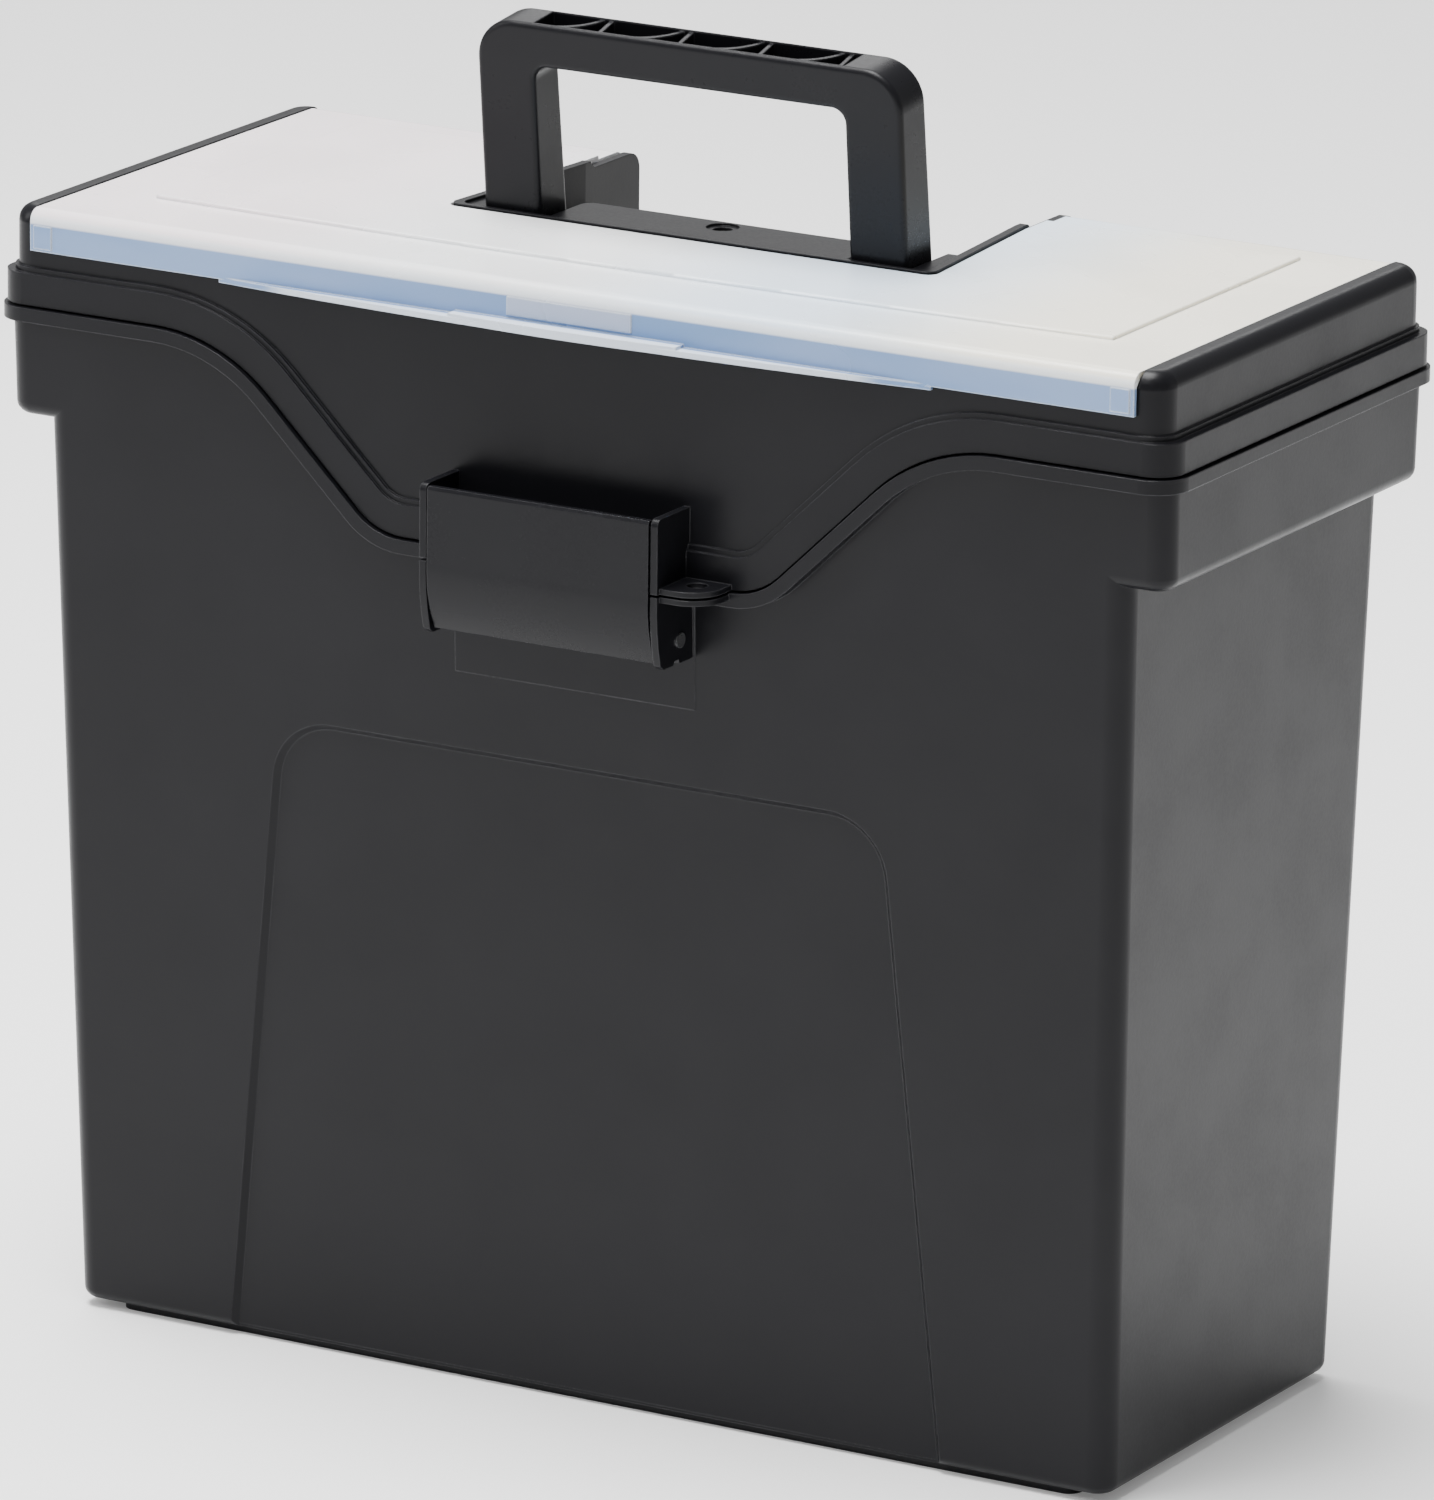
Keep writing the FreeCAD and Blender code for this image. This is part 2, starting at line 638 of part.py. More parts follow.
# ---------------------------------------------------------------- lid
def makeLid():
    cap = slab("lid_cap", "lid_low", "lid_top", "lid_width", "lid_depth", "lid_corner")
    fillet(cap, "lid_edge", level(number("lid_top")))
    tongue = extrusion("lid_tongue", "XZ_Plane", "lid_depth / 2 - wall",
                       frontCurve("lid_gap") + [("165", "rim_height + lid_gap"), ("165", "lid_low + 3"),
                                                ("-165", "lid_low + 3"),
                                                ("-165", "rim_height + lid_gap")], "wall")
    bandTop = "lid_gap + band_height"
    band = edgeBand("lid_band", "lid_gap", bandTop, "band_width", "band_depth", "band_corner", "3.4")
    step = edgeBand("lid_band_step", "%s - 0.2" % bandTop, "%s + step_height" % bandTop,
                    "lid_width + 2 * step_proud", "lid_depth + 2 * step_proud",
                    "lid_corner + step_proud", "2.6")

    seat = block("cover_seat", "-seat_half_width", "seat_half_width", "-100", "100",
                 "seat_height", "320")
    rearCut = []
    rooms = []
    for side, mirror in (("left", True), ("right", False)):
        x0, x1 = span("groove_inner", "seat_half_width", mirror)
        rearCut.append(block("barrel_groove_" + side, x0, x1, "cover_axis_y - groove_gap",
                             "cover_axis_y + 4.1", "cover_axis_z - groove_gap", "320"))
        rearCut.append(block("rear_edge_" + side, x0, x1, "cover_axis_y", "100", "300", "320"))
        x0, x1 = span("tray_well_half + divider - 0.5", "room_outer", mirror)
        rooms.append(compartment("side_room_" + side, x0, x1, "-room_front",
                                 "cover_axis_y - groove_gap - divider"))
        x0, x1 = span("divider / 2", "tray_well_half - 0.5", mirror)
        rooms.append(compartment("front_room_" + side, x0, x1, "-room_front",
                                 "well_front - well_front_wall - divider"))
    walls = cut("lid_tray", fuse("lid_outside", cap, tongue, band, step), seat, *rearCut, *rooms)

    moulding = fuse("lid_with_well", walls, wellBlock())
    well = extrusion("handle_well", "XY_Plane", "well_floor", wellOutline("0", "0", "90"), "60")
    hollow = block("well_underside", "-60", "60", "well_front + 3", "lid_depth / 2 - 6", "lid_low - 1",
                   "well_floor - wall")
    frontBevel = extrusion("seat_front_bevel", "YZ_Plane", "0", [
        ("-(lid_depth / 2) - 0.6", "seat_height - 2.6"),
        ("-(lid_depth / 2) + 2.6", "seat_height + 0.6"),
        ("-(lid_depth / 2) - 0.6", "seat_height + 0.6"),
    ], "2 * seat_half_width", both=True)
    catchRoom = block("catch_notch", "-19", "19", "-(lid_depth / 2) - 1", "-(lid_depth / 2 - 1)",
                      "295.5", "310")
    pinBores = [rod("cover_pin_bore_right", "cover_pin_inner", "cover_pin_outer", "cover_axis_y",
                    "cover_axis_z", "thin_pin"),
                rod("cover_pin_bore_left", "-cover_pin_outer", "-cover_pin_inner", "cover_axis_y",
                    "cover_axis_z", "thin_pin")]
    moulding = cut("lid_opened", moulding, well, hollow, frontBevel, catchRoom, *pinBores)

    bosses = []
    for side, mirror in (("left", True), ("right", False)):
        x0, x1 = span("handle_half_width + 0.5", "well_front_half + 0.5", mirror)
        bosses.append(block("handle_ledge_" + side, x0, x1, "well_front - 0.5", "bridge_rear",
                            "well_floor - 0.5", "bridge_top"))
    screwPost = post("screw_post", "0", "5", "well_floor - 1", "298.7", "3.6")
    profile = [
        ("-70.5", "lid_tab_low"),
        ("-ear_front", "lid_tab_low"),
        ("-ear_front", "249", "2", -1),
        ("-ear_front + 2", "251"),
        ("-70.5", "251"),
    ]
    outer = "ear_inner + ear_thickness"
    catch = extrusion("latch_catch", "YZ_Plane", "0", [
        ("-70.5", "dip_floor + lid_gap + 0.5"),
        ("-79.2", "dip_floor + lid_gap + 0.5"),
        ("-79.7", "234"),
        ("-78.2", "235.6"),
        ("-70.5", "235.6"),
    ], "2 * (latch_half_width - 5)", both=True)
    latchParts = [
        ear("lid_ear_right", "ear_inner", outer, profile),
        ear("lid_ear_left", "-(%s)" % outer, "-ear_inner", profile),
        padlockTab("lid_padlock_tab", "lid_tab_low", "lid_tab_low + tab_thickness", "-70.5"),
        catch,
    ]
    hinges = makeKnuckles("lid", (("hinge_inner + hinge_knuckle + hinge_play",
                                   "hinge_outer - hinge_knuckle - hinge_play"),),
                          "lid_low", "lid_low + 5.5", "thin_pin + running_gap")
    moulding = fuse("lid_moulding", moulding, *bosses, screwPost, *latchParts, *hinges)
    handleBore = rod("handle_pin_bore", "-(well_front_half)", "well_front_half", "handle_axis_y",
                     "handle_axis_z", "handle_pin")
    return cut("lid_shell", moulding, handleBore, post("screw_bore", "0", "5", "285", "300", "1.4"))


def compartment(name, x0, x1, y0, y1):
    """Open-topped organiser room with rounded upright corners and floor."""
    body = newBody(name)
    sketch = sketchOn(body, "XY_Plane", "tray_floor")
    rectangle(sketch, x0, x1, y0, y1)
    pad(body, sketch, "30")
    fillet(body, "4", upright)
    fillet(body, "2.5", level(number("tray_floor")))
    return body


def wellOutline(grow, growFront, rear):
    """Plan of the handle well: narrower towards the back."""
    front = "(well_front - (%s))" % growFront
    return [
        ("-(well_front_half + (%s) - 3)" % grow, front),
        ("well_front_half + (%s) - 3" % grow, front, "3", 1),
        ("well_front_half + (%s)" % grow, front + " + 3"),
        ("well_rear_half + (%s)" % grow, "well_taper_end"),
        ("well_rear_half + (%s)" % grow, rear),
        ("-(well_rear_half + (%s))" % grow, rear),
        ("-(well_rear_half + (%s))" % grow, "well_taper_end"),
        ("-(well_front_half + (%s))" % grow, front + " + 3", "3", 1),
    ]


def wellBlock():
    """Solid round which the well is cut: stepped along its top, rounded at the back."""
    plan = extrusion("well_plan", "XY_Plane", "lid_low",
                     wellOutline("well_wall", "well_front_wall", "lid_depth / 2 + 1.5"), "40")
    side = extrusion("well_side", "YZ_Plane", "0", [
        ("-20", "lid_low"),
        ("lid_depth / 2 + 1.5", "lid_low"),
        ("lid_depth / 2 + 1.5", "well_wall_low - 5", "5", 1),
        ("lid_depth / 2 - 3.5", "well_wall_low"),
        ("well_step + 2", "well_wall_low"),
        ("well_step", "well_wall_top"),
        ("-20", "well_wall_top"),
    ], "200", both=True)
    return common("well_block", plan, side)


# ---------------------------------------------------------------- organiser cover
def makeCover():
    body = newBody("organiser_cover")
    under = "cover_top - cover_thickness"
    bendZ = "cover_top - cover_bend"
    front = "-cover_front"
    sketch = sketchOn(body, "YZ_Plane")
    outline(sketch, [
        (front, "flap_low"),
        ("%s + flap_thickness" % front, "flap_low"),
        ("%s + flap_thickness" % front, "%s - 2" % under),
        ("%s + flap_thickness + 2" % front, under),
        ("cover_axis_y", under),
        ("cover_axis_y", "cover_top"),
        ("%s + cover_bend" % front, "cover_top", "cover_bend", 1),
        (front, bendZ),
    ])
    pad(body, sketch, "2 * cover_half_width", both=True)

    inset = sketchOn(body, "XY_Plane", "cover_top - 0.2")
    insetOutline(inset, "0")
    pad(body, inset, "inset_height + 0.2")
    fillet(body, "0.6", level(number("cover_top + inset_height")))
    relief = sketchOn(body, "XY_Plane", under)
    insetOutline(relief, "-1")
    pocket(body, relief, "inset_height", reverse=True)

    pull = sketchOn(body, "XY_Plane", "flap_low - 1")
    bow = "((lip_half_width ^ 2 + lip_proud ^ 2) / (2 * lip_proud))"
    outline(pull, [
        ("-lip_half_width", "%s + flap_thickness" % front),
        ("-lip_half_width", front + " + 0.2", bow, 1),
        ("lip_half_width", front + " + 0.2"),
        ("lip_half_width", "%s + flap_thickness" % front),
    ])
    pad(body, pull, "1.5")
    thumb = sketchOn(body, "XY_Plane", "flap_low - 1")
    outline(thumb, [
        ("-34", "%s + flap_thickness" % front),
        ("-34", front + " - 4", "400", 1),
        ("34", front + " - 4"),
        ("34", "%s + flap_thickness" % front),
    ])
    pad(body, thumb, "2.3")
    nub = sketchOn(body, "YZ_Plane")
    outline(nub, [
        ("%s + flap_thickness - 0.2" % front, "297"),
        ("%s + flap_thickness + 0.7" % front, "297.8"),
        ("%s + flap_thickness - 0.2" % front, "299.2"),
    ])
    pad(body, nub, "34", both=True)
    marks = sketchOn(body, "XZ_Plane", "cover_front - 0.3")
    tab = "(cover_half_width - 1.2)"
    for x0, x1, z0 in (("-" + tab, "-(%s - 5.5)" % tab, "flap_low + 0.8"),
                       (tab + " - 5.5", tab, "flap_low + 0.8"), ("-18.5", "18.5", "294.9")):
        rectangle(marks, x0, x1, z0, "cover_top - cover_bend - 0.6")
    pad(body, marks, "0.65")
    barrel = sketchOn(body, "YZ_Plane")
    circle(barrel, "cover_axis_y", "cover_axis_z", "cover_barrel")
    pad(body, barrel, "2 * cover_half_width", both=True)
    bore = sketchOn(body, "YZ_Plane")
    circle(bore, "cover_axis_y", "cover_axis_z", "thin_pin + running_gap")
    pocket(body, bore, "2 * cover_half_width + 2", both=True)
    gap = sketchOn(body, "XY_Plane", "280")
    outline(gap, wellOutline("well_wall + 0.6", "well_front_wall + 0.6", "90"))
    pocket(body, gap, "40", reverse=True)
    return body


def insetOutline(sketch, grow):
    """Raised panel: straight sides, front edge bowed towards the flap."""
    half = "(inset_half_width + (%s))" % grow
    side = "-(inset_front + (%s))" % grow
    bow = "((inset_half_width ^ 2 + inset_bow ^ 2) / (2 * inset_bow))"
    outline(sketch, [
        ("-" + half, side, bow, 1),
        (half, side),
        (half, "inset_rear + (%s)" % grow),
        ("-" + half, "inset_rear + (%s)" % grow),
    ])


# ---------------------------------------------------------------- carrying handle
def makeHandle():
    """Drawn upright about its own pivot, then leaned forward on it."""
    body = newBody("carry_handle")
    side = sketchOn(body, "YZ_Plane")
    base = "(handle_base_depth / 2)"
    top = "(handle_top_depth / 2)"
    outline(side, [
        ("-" + base, "0", base + " * 1.02", 1),
        (base, "0"),
        (top, "handle_height"),
        ("-" + top, "handle_height"),
    ])
    pad(body, side, "2 * handle_half_width", both=True)
    corners = sketchOn(body, "XZ_Plane")
    half = "handle_half_width"
    radius = "handle_corner"
    for sign in ("-", ""):
        turn = -1 if sign else 1
        far = "%s(%s + 1)" % (sign, half)
        outline(corners, [
            ("%s%s" % (sign, half), "handle_height - %s" % radius, radius, turn),
            ("%s(%s - %s)" % (sign, half, radius), "handle_height"),
            ("%s(%s - %s)" % (sign, half, radius), "handle_height + 1"),
            (far, "handle_height + 1"),
            (far, "handle_height - %s" % radius),
        ])
    pocket(body, corners, "40", both=True)
    opening = sketchOn(body, "XZ_Plane")
    gap = "(handle_half_width - handle_leg)"
    under = "(handle_height - handle_bar)"
    small = "handle_inner_corner"
    outline(opening, [
        ("-" + gap, "-20"),
        (gap, "-20"),
        (gap, "%s - %s" % (under, small), small, 1),
        ("%s - %s" % (gap, small), under),
        ("-(%s - %s)" % (gap, small), under, small, 1),
        ("-" + gap, "%s - %s" % (under, small)),
    ])
    pocket(body, opening, "40", both=True)
    fillet(body, "1.4", handleRim)
    hollow = sketchOn(body, "XY_Plane", "handle_height")
    wide = "(handle_half_width - handle_leg)"
    deep = "(handle_top_depth / 2 - 1.5)"
    rectangle(hollow, "-" + wide, wide, "-" + deep, deep)
    pocket(body, hollow, "handle_bar - 3")
    ribs = sketchOn(body, "XY_Plane", "%s + 2" % under)
    for index in range(4):
        rear = "(%d * rib_pitch + 18.5)" % (index - 2)
        straightRib(ribs, rear, deep)
        archRib(ribs, rear, deep)
    pad(body, ribs, "handle_bar - 2.6")
    bore = sketchOn(body, "YZ_Plane")
    circle(bore, "0", "0", "handle_pin + running_gap")
    pocket(body, bore, "2 * handle_half_width + 2", both=True)
    body.Placement = FreeCAD.Placement(FreeCAD.Vector(0, number("handle_axis_y"), number("handle_axis_z")),
                                       FreeCAD.Rotation(FreeCAD.Vector(1, 0, 0), number("handle_lean")))
    bind(body, "Placement.Base.y", "handle_axis_y")
    bind(body, "Placement.Base.z", "handle_axis_z")
    bind(body, "Placement.Rotation.Angle", "handle_lean")
    return body


def handleRim(edge):
    """Outer and inner edges of the two faces that look forward and back."""
    box = edge.BoundBox
    side = abs(box.YMin) > 6.3 and abs(box.YMax) > 6.3 and box.YMin * box.YMax > 0
    return side and box.ZMax > 1 and max(box.XLength, box.ZLength) > 2


def straightRib(sketch, rear, deep):
    thick = "rib_thickness"
    outline(sketch, [
        (rear, "%s + 0.3" % deep),
        ("%s + 1.8" % rear, "-(%s + 0.3)" % deep),
        ("%s + 1.8 + %s" % (rear, thick), "-(%s + 0.3)" % deep),
        ("%s + %s" % (rear, thick), "%s + 0.3" % deep),
    ])


def archRib(sketch, rear, deep):
    """Quarter arch from the front wall up to the rear wall, just left of a straight rib."""
    span = "13"
    end = "(%s - 1.4)" % rear
    start = "(%s - %s)" % (end, span)
    rise = "(2 * %s + 0.3)" % deep
    bend = "((%s ^ 2 + %s ^ 2) / (2 * %s))" % (span, rise, rise)
    outline(sketch, [
        (start, "-%s" % deep, bend, 1),
        (end, "%s + 0.3" % deep),
        ("%s - rib_thickness * 1.1" % end, "%s + 0.3" % deep, "%s - rib_thickness * 0.6" % bend, -1),
        (start, "-%s + rib_thickness" % deep),
    ])


def makeBridge():
    """Cap between the handle's legs, open underneath, with a dished screw seat."""
    body = newBody("handle_bridge_cap")
    plan = sketchOn(body, "XY_Plane", "well_floor + 0.2")
    half = "bridge_half_width"
    rear = "bridge_rear"
    front = "(well_front + 0.2)"
    outline(plan, [
        ("-" + half, front),
        (half, front),
        (half, "%s - 4" % rear, "4", 1),
        ("%s - 4" % half, rear),
        ("-(%s - 4)" % half, rear, "4", 1),
        ("-" + half, "%s - 4" % rear),
    ])
    pad(body, plan, "bridge_top - well_floor - 0.2")
    fillet(body, "0.8", level(number("bridge_top")))
    inside = sketchOn(body, "XY_Plane", "well_floor + 0.2")
    rectangle(inside, "-(%s - 2)" % half, "%s - 2" % half, "%s + 2" % front, "%s - 2" % rear)
    pocket(body, inside, "bridge_top - well_floor - 2.2", reverse=True)
    seat = sketchOn(body, "XY_Plane", "299")
    circle(seat, "0", "5", "4.6")
    pad(body, seat, "bridge_top - 300")
    dish = sketchOn(body, "XY_Plane", "bridge_top")
    circle(dish, "0", "5", "4.4")
    pocket(body, dish, "0.7")
    head = sketchOn(body, "XY_Plane", "bridge_top")
    circle(head, "0", "5", "2.6")
    pocket(body, head, "3.5")
    shank = sketchOn(body, "XY_Plane", "bridge_top")
    circle(shank, "0", "5", "1.6")
    pocket(body, shank, "10")
    bore = sketchOn(body, "YZ_Plane")
    circle(bore, "handle_axis_y", "handle_axis_z", "handle_pin")
    pocket(body, bore, "120", both=True)
    return body


# ---------------------------------------------------------------- latch
def makeLatch():
    body = newBody("front_latch")
    front = "-latch_front"
    back = "(-latch_front + latch_thickness)"
    bottom = "(latch_axis_z - 4.7)"
    plate = sketchOn(body, "YZ_Plane")
    outline(plate, [
        ("-80", bottom),
        ("-80", "%s + latch_thickness" % bottom),
        ("-84", "%s + latch_thickness" % bottom, "24", -1),
        (back, "232"),
        (back, "latch_top"),
        ("%s + 0.6" % front, "latch_top"),
        (front, "latch_top - 0.8"),
        (front, "230", "36", 1),
        ("-84.8", bottom),
    ])
    pad(body, plate, "2 * latch_half_width", both=True)
    hub = sketchOn(body, "YZ_Plane")
    circle(hub, "latch_axis_y", "latch_axis_z", "4")
    pad(body, hub, "2 * latch_half_width", both=True)
    web = sketchOn(body, "YZ_Plane")
    rectangle(web, "-82", "latch_axis_y", bottom, "%s + latch_thickness" % bottom)
    pad(body, web, "2 * latch_half_width", both=True)
    hook = sketchOn(body, "YZ_Plane")
    outline(hook, [
        ("%s - 0.5" % back, "237.2"),
        ("-81.6", "237.2"),
        ("-81.6", "238"),
        ("%s - 0.5" % back, "241"),
    ])
    pad(body, hook, "2 * (latch_half_width - 4)", both=True)
    for place in (-1, -0.35, 0.35, 1):
        cheek = sketchOn(body, "YZ_Plane", "%g * (latch_half_width - 1)" % place)
        outline(cheek, [
            ("latch_axis_y - 0.5", "latch_axis_z + 3"),
            ("%s - 0.5" % back, "243"),
            ("%s - 0.5" % back, "230"),
            ("-85", "%s + 1" % bottom),
            ("latch_axis_y - 0.5", "%s + 1" % bottom),
        ])
        pad(body, cheek, "2", both=True)
    bore = sketchOn(body, "YZ_Plane")
    circle(bore, "latch_axis_y", "latch_axis_z", "latch_pin + running_gap")
    pocket(body, bore, "2 * latch_half_width + 2", both=True)
    return body


# ---------------------------------------------------------------- pins and screw
def makePins():
    made = [rod("latch_pivot_pin", "-(ear_inner + ear_thickness + 0.5)", "ear_inner + ear_thickness + 0.5",
                "latch_axis_y", "latch_axis_z", "latch_pin")]
    spans = (
        ("lid_hinge_pin", "hinge_inner - 0.5", "hinge_outer + 0.5", "hinge_axis_y", "hinge_axis_z", "thin_pin"),
        ("cover_hinge_pin", "cover_pin_inner", "cover_pin_outer", "cover_axis_y", "cover_axis_z",
         "thin_pin"),
        ("handle_pivot_pin", "bridge_half_width - 2", "well_front_half", "handle_axis_y", "handle_axis_z",
         "handle_pin"),
    )
    for name, near, far, y, z, radius in spans:
        made.append(rod(name + "_left", "-(%s)" % far, "-(%s)" % near, y, z, radius))
        made.append(rod(name + "_right", near, far, y, z, radius))
    head = post("screw_head", "0", "5", "bridge_top - 3.5", "bridge_top - 1.6", "2.4")
    shank = post("screw_shank", "0", "5", "287", "bridge_top - 3", "1.4")
    slotWide = block("screw_slot", "-1.8", "1.8", "4.7", "5.3", "bridge_top - 2.3", "bridge_top")
    slotDeep = block("screw_slot_across", "-0.3", "0.3", "3.2", "6.8", "bridge_top - 2.3", "bridge_top")
    made.append(cut("bridge_screw", fuse("screw_blank", head, shank), slotWide, slotDeep))
    return made


# ---------------------------------------------------------------- checks and files
subparts = [makeBin(), makeLid(), makeCover(), makeHandle(), makeBridge(), makeLatch()] + makePins()
for subpart in subparts:
    subpart.Label = subpart.Name
doc.recompute()

for thing in doc.Objects:
    if "Invalid" in thing.State or "Error" in thing.State:
        raise RuntimeError("%s failed: %s" % (thing.Name, thing.State))
for subpart in subparts:
    shape = subpart.Shape
    if shape.isNull() or not shape.isValid():
        raise RuntimeError("%s has no valid shape" % subpart.Label)
    shape.exportStep("parts/%s.step" % subpart.Label)
    box = shape.BoundBox
    print("%-24s %d solid(s) %9.0f mm3  X %.1f..%.1f  Y %.1f..%.1f  Z %.1f..%.1f" % (
        subpart.Label, len(shape.Solids), shape.Volume, box.XMin, box.XMax, box.YMin, box.YMax,
        box.ZMin, box.ZMax))
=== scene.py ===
import bpy
from mathutils import Matrix, Vector

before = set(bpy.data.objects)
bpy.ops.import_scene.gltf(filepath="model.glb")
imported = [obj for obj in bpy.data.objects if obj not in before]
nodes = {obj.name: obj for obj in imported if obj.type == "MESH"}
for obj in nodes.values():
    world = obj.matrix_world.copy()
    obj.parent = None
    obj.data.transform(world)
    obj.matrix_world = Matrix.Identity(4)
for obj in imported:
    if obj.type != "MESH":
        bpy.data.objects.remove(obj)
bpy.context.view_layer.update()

scene = bpy.context.scene


def add(tree, kind, **settings):
    node = tree.nodes.new(kind)
    for key, value in settings.items():
        setattr(node, key, value)
    return node


def feed(tree, value, socket):    # another node's output is linked, a number or colour is set
    if isinstance(value, bpy.types.NodeSocket):
        tree.links.new(value, socket)
    else:
        socket.default_value = value


def newGroup(name, inputs, outputs):
    group = bpy.data.node_groups.new(name, "ShaderNodeTree")
    for socketName, kind, default in inputs:
        socket = group.interface.new_socket(name=socketName, in_out="INPUT", socket_type=kind)
        socket.default_value = default
    for socketName, kind in outputs:
        group.interface.new_socket(name=socketName, in_out="OUTPUT", socket_type=kind)
    return group, add(group, "NodeGroupInput").outputs, add(group, "NodeGroupOutput").inputs


def mathNode(tree, operation, *values, clamp=False):
    node = add(tree, "ShaderNodeMath", operation=operation, use_clamp=clamp)
    for value, socket in zip(values, node.inputs):
        feed(tree, value, socket)
    return node.outputs[0]


def noise(tree, vector, scale, detail, roughness):
    node = add(tree, "ShaderNodeTexNoise")
    for key, value in (("Vector", vector), ("Scale", scale), ("Detail", detail), ("Roughness", roughness)):
        feed(tree, value, node.inputs[key])
    return node.outputs["Fac"]


def stretched(tree, vector, scale):
    node = add(tree, "ShaderNodeMapping")
    node.inputs["Scale"].default_value = scale
    tree.links.new(vector, node.inputs["Vector"])
    return node.outputs[0]


def remap(tree, value, low, high, toLow, toHigh):
    node = add(tree, "ShaderNodeMapRange", clamp=True, interpolation_type="SMOOTHSTEP")
    for number, socket in zip((value, low, high, toLow, toHigh), node.inputs):
        feed(tree, number, socket)
    return node.outputs[0]


def mixColor(tree, factor, first, second):
    node = add(tree, "ShaderNodeMix", data_type="RGBA")
    for value, socket in ((factor, node.inputs[0]), (first, node.inputs[6]), (second, node.inputs[7])):
        feed(tree, value, socket)
    return node.outputs[2]


def bumped(tree, height, strength, distance, normal=None):
    node = add(tree, "ShaderNodeBump")
    node.inputs["Distance"].default_value = distance
    feed(tree, strength, node.inputs["Strength"])
    tree.links.new(height, node.inputs["Height"])
    if normal is not None:
        tree.links.new(normal, node.inputs["Normal"])
    return node.outputs[0]


def newMaterial(name):
    material = bpy.data.materials.new(name)
    material.use_nodes = True
    tree = material.node_tree
    return material, tree, tree.nodes["Principled BSDF"]


edgeLook = {"samples": 4, "flat": 0.995}    # flat: the mask starts where the two normals agree less than this


# A rounded normal, and a mask of the places where it turns away from the flat face.
def makeSoftEdges():
    group, inputs, outputs = newGroup("softEdges", (
        ("Radius", "NodeSocketFloat", 0.0006),
        ("Full Mask At", "NodeSocketFloat", 0.80),
    ), (("Normal", "NodeSocketVector"), ("Mask", "NodeSocketFloat")))
    rounded = add(group, "ShaderNodeBevel", samples=edgeLook["samples"])
    feed(group, inputs["Radius"], rounded.inputs["Radius"])
    match = add(group, "ShaderNodeVectorMath", operation="DOT_PRODUCT")
    feed(group, rounded.outputs[0], match.inputs[0])
    feed(group, add(group, "ShaderNodeNewGeometry").outputs["Normal"], match.inputs[1])
    mask = remap(group, match.outputs["Value"], edgeLook["flat"], inputs["Full Mask At"], 0.0, 1.0)
    feed(group, rounded.outputs[0], outputs["Normal"])
    feed(group, mask, outputs["Mask"])
    return group


def addSoftEdges(tree, radius, fullMaskAt):
    node = add(tree, "ShaderNodeGroup", node_tree=softEdges)
    feed(tree, radius, node.inputs["Radius"])
    feed(tree, fullMaskAt, node.inputs["Full Mask At"])
    return node.outputs["Normal"], node.outputs["Mask"]


softEdges = makeSoftEdges()

surfaceLook = {
    # noises: scale, detail, roughness
    "fine": (2600.0, 2.0, 0.6), "pebble": (900.0, 2.0, 0.5), "flow": (9.0, 3.0, 0.55), "haze": (42.0, 4.0, 0.6),
    # what a noise turns into: from low, from high, to low, to high
    "edgeHighlightVariation": (0.35, 0.65, 0.25, 1.0), "tone": (0.3, 0.7, 0.90, 1.10),
    "uneven": (0.3, 0.7, -0.035, 0.035), "speckle": (0.3, 0.7, -0.02, 0.02),
    "fullMaskAt": 0.80, "edgePolish": 0.12,
    "fineHeight": 0.6, "pebbleHeight": 0.8, "bumpDistance": 0.00006,
}


# Spark-eroded mould grain, gentle flow unevenness and softened edges of a moulding, with a painted highlight
# along those edges.
def makeMouldedSurface():
    look = surfaceLook
    group, inputs, outputs = newGroup("mouldedSurface", (
        ("Color", "NodeSocketColor", (0.02, 0.02, 0.02, 1)),
        ("Painted Edge Highlight", "NodeSocketColor", (0.05, 0.05, 0.05, 1)),
        ("Roughness", "NodeSocketFloat", 0.45),
        ("Grain", "NodeSocketFloat", 0.5),
        ("Edge Radius", "NodeSocketFloat", 0.0006),
    ), (("Color", "NodeSocketColor"), ("Roughness", "NodeSocketFloat"), ("Normal", "NodeSocketVector")))
    place = add(group, "ShaderNodeTexCoord").outputs["Object"]
    fine, pebble, flow, haze = (noise(group, place, *look[key]) for key in ("fine", "pebble", "flow", "haze"))
    normal, edge = addSoftEdges(group, inputs["Edge Radius"], look["fullMaskAt"])
    # painted highlight: the lighter edge colour is mixed in along the rounded edges, patchy with haze, and the
    # roughness drops there
    paintedEdgeHighlight = mathNode(group, "MULTIPLY", edge, remap(group, haze, *look["edgeHighlightVariation"]))

    shade = add(group, "ShaderNodeVectorMath", operation="SCALE")
    feed(group, inputs["Color"], shade.inputs[0])
    feed(group, remap(group, flow, *look["tone"]), shade.inputs["Scale"])
    feed(group, mixColor(group, paintedEdgeHighlight, shade.outputs[0], inputs["Painted Edge Highlight"]), outputs["Color"])

    rough = mathNode(group, "ADD", inputs["Roughness"], remap(group, haze, *look["uneven"]))
    rough = mathNode(group, "ADD", rough, remap(group, pebble, *look["speckle"]))
    polish = mathNode(group, "MULTIPLY", paintedEdgeHighlight, look["edgePolish"])
    feed(group, mathNode(group, "SUBTRACT", rough, polish, clamp=True), outputs["Roughness"])

    height = mathNode(group, "ADD", mathNode(group, "MULTIPLY", fine, look["fineHeight"]),
                      mathNode(group, "MULTIPLY", pebble, look["pebbleHeight"]))
    feed(group, bumped(group, height, inputs["Grain"], look["bumpDistance"], normal), outputs["Normal"])
    return group


mouldedSurface = makeMouldedSurface()


